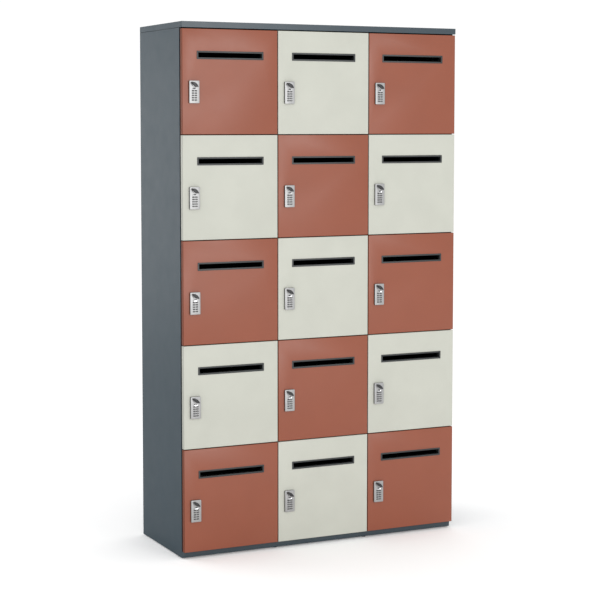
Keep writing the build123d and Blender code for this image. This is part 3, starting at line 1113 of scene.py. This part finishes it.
# %% [markdown]
# ## Copies for every door
# The chequer runs terracotta on the corners of the front. Each door's pieces are the first door's,
# moved by the distance between the two doors, and each copy has its own mesh. The door's board, slot
# lining, lock and hinge cups ride on the door. The knob and its cam ride on the knob's body, and the
# keys on theirs. The first pieces have then done their work and are deleted.

# %% Dress all the doors
FINISHES = {"terracotta": (terracotta_face, terracotta_shaded_edge), "white": (white_face, white_shaded_edge)}
# first piece, name, material slot
ON_DOOR = (
    (first_lining, "slot_lining", "black_plastic"),
    (first_housing, "lock_housing", "plated_steel"),
    (first_rim, "indicator_rim", "plated_steel"),
    (first_lens, "indicator_lens", "black_plastic"),
    (first_rear, "lock_rear_case", "black_plastic"),
    (first_screws, "lock_screws", "plated_steel"),
    (first_cups, "hinge_cups", "plated_steel"),
)


def colour_of(row, column):
    return "terracotta" if (row + column) % 2 == 0 else "white"


for row, column in PLACES:
    place = f"r{row}c{column}"
    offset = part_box(f"door_{place}")[0] - first_low
    board = moved_copy(first_door, f"door_board_{place}", offset)
    finish(board, *FINISHES[colour_of(row, column)])
    # A door's edge faces get the darker copy of its colour: painted shade.
    for face, model in zip(board.data.polygons, first_door.data.polygons):
        face.material_index = 1 if on_shaded_edge(model) else 0
    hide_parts(f"door_{place}")
    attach(board, f"door_{place}")
    for piece, name, slot in ON_DOOR:
        copy = moved_copy(piece, f"{name}_{place}", offset)
        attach(copy, f"door_{place}")
    for piece, name in ((first_knob, "turn_knob"), (first_cam, "cam")):
        copy = moved_copy(piece, f"{name}_{place}", offset)
        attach(copy, f"knob_{place}")
        if name == "turn_knob":
            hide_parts(f"knob_{place}")
    keys = moved_copy(first_keys, f"keys_{place}", offset)
    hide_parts(f"keypad_{place}")
    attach(keys, f"keypad_{place}")
    numbers = moved_copy(first_numbers, f"key_numbers_{place}", offset)
    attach(numbers, f"keypad_{place}")

used_up = [first_door, first_knob, first_cam, first_keys, first_numbers]
for piece in used_up + [entry[0] for entry in ON_DOOR]:
    bpy.data.objects.remove(piece, do_unlink=True)
print(len(PLACES), "doors dressed")

# %% [markdown]
# ## Hinge arms and plates
# With a door open, its hinge arms and their mounting plates show on the carcass. They keep their
# construction size, with rounded ends and screw heads. One plate and one arm are made for the first
# door and copied to every hinge. An array modifier has one step for all, and the side board's inner
# face isn't a whole step away from the partitions', so the copies are placed one by one, then joined.

# %% Mounting plate and arm
PLATE_THICKNESS = 3 * MM
PLATE_HEIGHT = 32 * MM
PLATE_CORNER = 5 * MM
PLATE_SOFTNESS = 0.4 * MM
PLATE_SCREW_SPAN = 11.5 * MM
ARM_DEPTH = 12 * MM
ARM_WIDTH = 14 * MM
ARM_END_ROUND = 2.5 * MM
ARM_END_RISE = 1 * MM
ARM_SOFTNESS = 0.6 * MM
ARM_SCREW_REACHES = (22 * MM, 46 * MM)
ARM_SCREW_HEIGHT = 0.7 * MM
HINGE_SCREW_RADIUS = 3.0 * MM
plate_low, plate_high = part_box("hinge_plates")
arm_front, arm_back = [corner.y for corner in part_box("hinge_arms")]
INNER_NODES = ("partition_1", "partition_2", "side_panel_right")
inner_faces = [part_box(node)[0].x for node in INNER_NODES]


def make_plate(face, level):
    half = PLATE_HEIGHT / 2
    outer = face - PLATE_THICKNESS
    plate = box_piece(
        "plate", (outer, plate_low.y, level - half), (face, plate_high.y, level + half)
    )
    bevel_where(plate, along_x, PLATE_CORNER, segments=5)
    soften(plate, PLATE_SOFTNESS, segments=2, angle=50)
    middle = (plate_low.y + plate_high.y) / 2
    screws = []
    for side in (-1, 1):
        seat = (outer, middle, level + side * PLATE_SCREW_SPAN)
        screws.append(screw_head("screw", seat, HINGE_SCREW_RADIUS, LEFTWARDS))
    return joined("plate", [plate] + screws)


def make_arm(face, level):
    base = face - PLATE_THICKNESS
    outer = base - ARM_DEPTH
    half = ARM_WIDTH / 2
    arm = box_piece("arm", (outer, arm_front, level - half), (base, arm_back, level + half))

    def outer_ends(a, b):
        return max(a.x, b.x) < outer + SAME_LEVEL and abs(a.z - b.z) > ARM_END_RISE

    bevel_where(arm, outer_ends, ARM_END_ROUND, segments=4)
    soften(arm, ARM_SOFTNESS, segments=2, angle=50)
    screws = []
    for reach in ARM_SCREW_REACHES:
        seat = (outer, arm_front + reach, level)
        screws.append(screw_head("screw", seat, HINGE_SCREW_RADIUS, LEFTWARDS, ARM_SCREW_HEIGHT))
    return joined("arm", [arm] + screws)


first_plate = make_plate(inner_faces[0], hinge_levels[0])
first_arm = make_arm(inner_faces[0], hinge_levels[0])
print("plate and arm", len(first_plate.data.polygons), len(first_arm.data.polygons), "faces")

# %% Hinge arms and plates for every door
plates, arms = [], []
for row, column in PLACES:
    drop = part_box(f"door_r{row}c1")[0].z - door_bottom
    shift = inner_faces[column - 1] - inner_faces[0]
    for level in hinge_levels:
        offset = Vector((shift, 0, drop + level - hinge_levels[0]))
        plates.append(moved_copy(first_plate, "plate", offset))
        arms.append(moved_copy(first_arm, "arm", offset))
for piece in (first_plate, first_arm):
    bpy.data.objects.remove(piece, do_unlink=True)
HINGE_SETS = (("hinge_plate_set", plates, "hinge_plates"), ("hinge_arm_set", arms, "hinge_arms"))
for name, parts, node in HINGE_SETS:
    piece = joined(name, parts)
    smooth(piece)
    finish(piece, plated_steel)
    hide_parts(node)
    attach(piece, "carcass")
    print(name, len(piece.data.polygons), "faces")

# %% [markdown]
# ## Strike plates and bumpers
# The strike plates for the cams and the small rubber pads are plain shapes on the real object too, so
# the construction model's own solids stay, and only get their finish.

# %% Strikes and bumpers
finish(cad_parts["lock_strikes"], plated_steel)
finish(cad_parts["door_bumpers"], pad_rubber)
print("strikes and bumpers finished")

# %% [markdown]
# ## Camera
# The photograph was taken from the front left at eye height with a long lens. Its uprights are all
# upright, which a shifted lens gives. A full shift would cut the top off every other view of the model,
# so the camera here has a small shift and looks down by a few degrees for the rest, which leaves every
# corner of the cabinet within four pixels of the photograph.

# %% Camera
CAMERA_PLACE = (-2.7967, -5.8021, 1.6063)
CAMERA_YAW = 25.56
CAMERA_PITCH = 4.362
CAMERA_LENS = 100.83
CAMERA_SENSOR = 36
CAMERA_SHIFT = -0.075
CAMERA_SEES_TO = 100
camera_data = bpy.data.cameras.new("camera")
camera = bpy.data.objects.new("camera", camera_data)
bpy.context.scene.collection.objects.link(camera)
camera_data.lens = CAMERA_LENS
camera_data.sensor_width = CAMERA_SENSOR
camera_data.shift_y = CAMERA_SHIFT
camera_data.clip_end = CAMERA_SEES_TO
camera.location = CAMERA_PLACE
camera.rotation_euler = (math.radians(90 - CAMERA_PITCH), 0, math.radians(-CAMERA_YAW))
bpy.context.scene.camera = camera
print("camera at", CAMERA_PLACE)

# %% [markdown]
# ## Floor, backdrop and light
# The cabinet stands on a plain pale floor under soft light. The floor glows a little, as a light table
# does, which keeps it white beside the cabinet. A wide soft lamp high on the left gives the side board
# its sheen, fading towards the floor, and a weak one behind it evens this out. The lamp in front on
# the right is what the satin doors at the top left and the lock plates reflect, and a low wide one
# fills the bottom rows.

# %% Floor
FLOOR_SIZE = 40
FLOOR_WHITE = (0.95, 0.95, 0.95, 1)
FLOOR_ROUGHNESS = 0.9
FLOOR_GLOSS = 0.1
FLOOR_GLOW = 0.10
PURE_WHITE = (1, 1, 1, 1)


def make_floor():
    clear_selection()
    bpy.ops.mesh.primitive_plane_add(size=FLOOR_SIZE, location=(0, 0, 0))
    floor = bpy.context.object
    floor.name = "floor"
    material, _, shader = new_material("pale_floor")
    shader.inputs["Base Color"].default_value = FLOOR_WHITE
    shader.inputs["Roughness"].default_value = FLOOR_ROUGHNESS
    shader.inputs["Specular IOR Level"].default_value = FLOOR_GLOSS
    shader.inputs["Emission Color"].default_value = PURE_WHITE
    shader.inputs["Emission Strength"].default_value = FLOOR_GLOW
    finish(floor, material)


make_floor()
print("floor", FLOOR_SIZE, "m wide")

# %% Lamps and world
WORLD_BRIGHTNESS = 1.04


def soft_lamp(name, place, target, size, power, spread=180):
    data = bpy.data.lights.new(name, "AREA")
    data.shape = "RECTANGLE"
    data.size, data.size_y = size
    data.energy = power
    data.spread = math.radians(spread)
    lamp = bpy.data.objects.new(name, data)
    lamp.location = place
    lamp.rotation_mode = "QUATERNION"
    lamp.rotation_quaternion = (Vector(target) - Vector(place)).to_track_quat("-Z", "Y")
    lamp.visible_camera = False
    bpy.context.scene.collection.objects.link(lamp)


soft_lamp("left_high_lamp", place=(-3.6, 3.2, 3.4), target=(-0.6, 0, 1.6), size=(2.4, 1.6), power=24)
soft_lamp("back_left_lamp", place=(-2.9, 5.4, 1.3), target=(-0.575, 0, 1.2), size=(2.4, 2.2),
          power=5, spread=70)
soft_lamp("front_lamp", place=(1.35, -5.6, 2.7), target=(-0.4, -0.2, 1.6), size=(1.6, 1.2), power=34)
soft_lamp("low_fill_lamp", place=(0.6, -5.5, 0.9), target=(0, -0.2, 0.3), size=(2.4, 1.0), power=31)
world = bpy.data.worlds.new("studio")
world.use_nodes = True
backdrop = world.node_tree.nodes["Background"]
backdrop.inputs["Color"].default_value = PURE_WHITE
backdrop.inputs["Strength"].default_value = WORLD_BRIGHTNESS
bpy.context.scene.world = world
bpy.context.scene.view_settings.view_transform = "Standard"
print("four lamps and a pale world")
